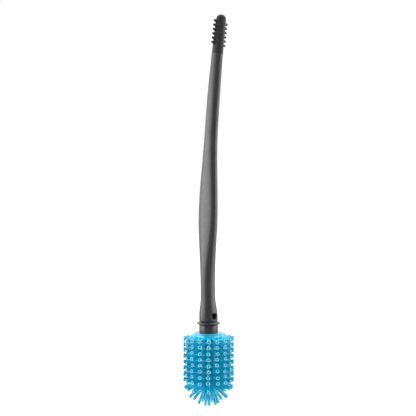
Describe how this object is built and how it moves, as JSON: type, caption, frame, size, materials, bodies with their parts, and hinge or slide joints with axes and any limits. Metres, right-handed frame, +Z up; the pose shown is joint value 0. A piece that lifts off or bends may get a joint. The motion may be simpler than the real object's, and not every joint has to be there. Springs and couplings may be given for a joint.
{
  "type": "bottle brush",
  "caption": "Bottle brush with a long curved soft-grip handle, a nubbed rubber tip for small corners, and a pull-off silicone head of moulded fingers over a domed end.",
  "frame": {"origin": "centre of the hanging eye, the round hole across the handle just above the stop bead", "axes": "+Z up the handle, with the head down as in use; the eye runs along Y; the handle bends in the XZ plane, its top towards +X; the tip's nubs point along +X and -X"},
  "size_m": [0.0498, 0.05, 0.3826],
  "materials": {
    "stiff_grey": "satin moulded plastic",
    "soft_grip": "fine matt soft-touch rubber",
    "tip_rubber": "satin rubber",
    "ring_rubber": "plain black rubber",
    "stiff_blue": "smooth moulded plastic",
    "silicone": "satin silicone, slightly translucent"
  },
  "bodies": {
    "handle": {"handle_core": "stiff_grey", "handle_grip": "soft_grip", "detail_tip": "tip_rubber", "seal_ring_upper": "ring_rubber", "seal_ring_lower": "ring_rubber"},
    "head": {"head_insert": "stiff_blue", "brush_head": "silicone"}
  },
  "joints": [
    {"name": "head_pull", "type": "slide", "parent": "handle", "child": "head", "axis": [0, 0, -1], "range_m": [0, 0.055]}
  ]
}
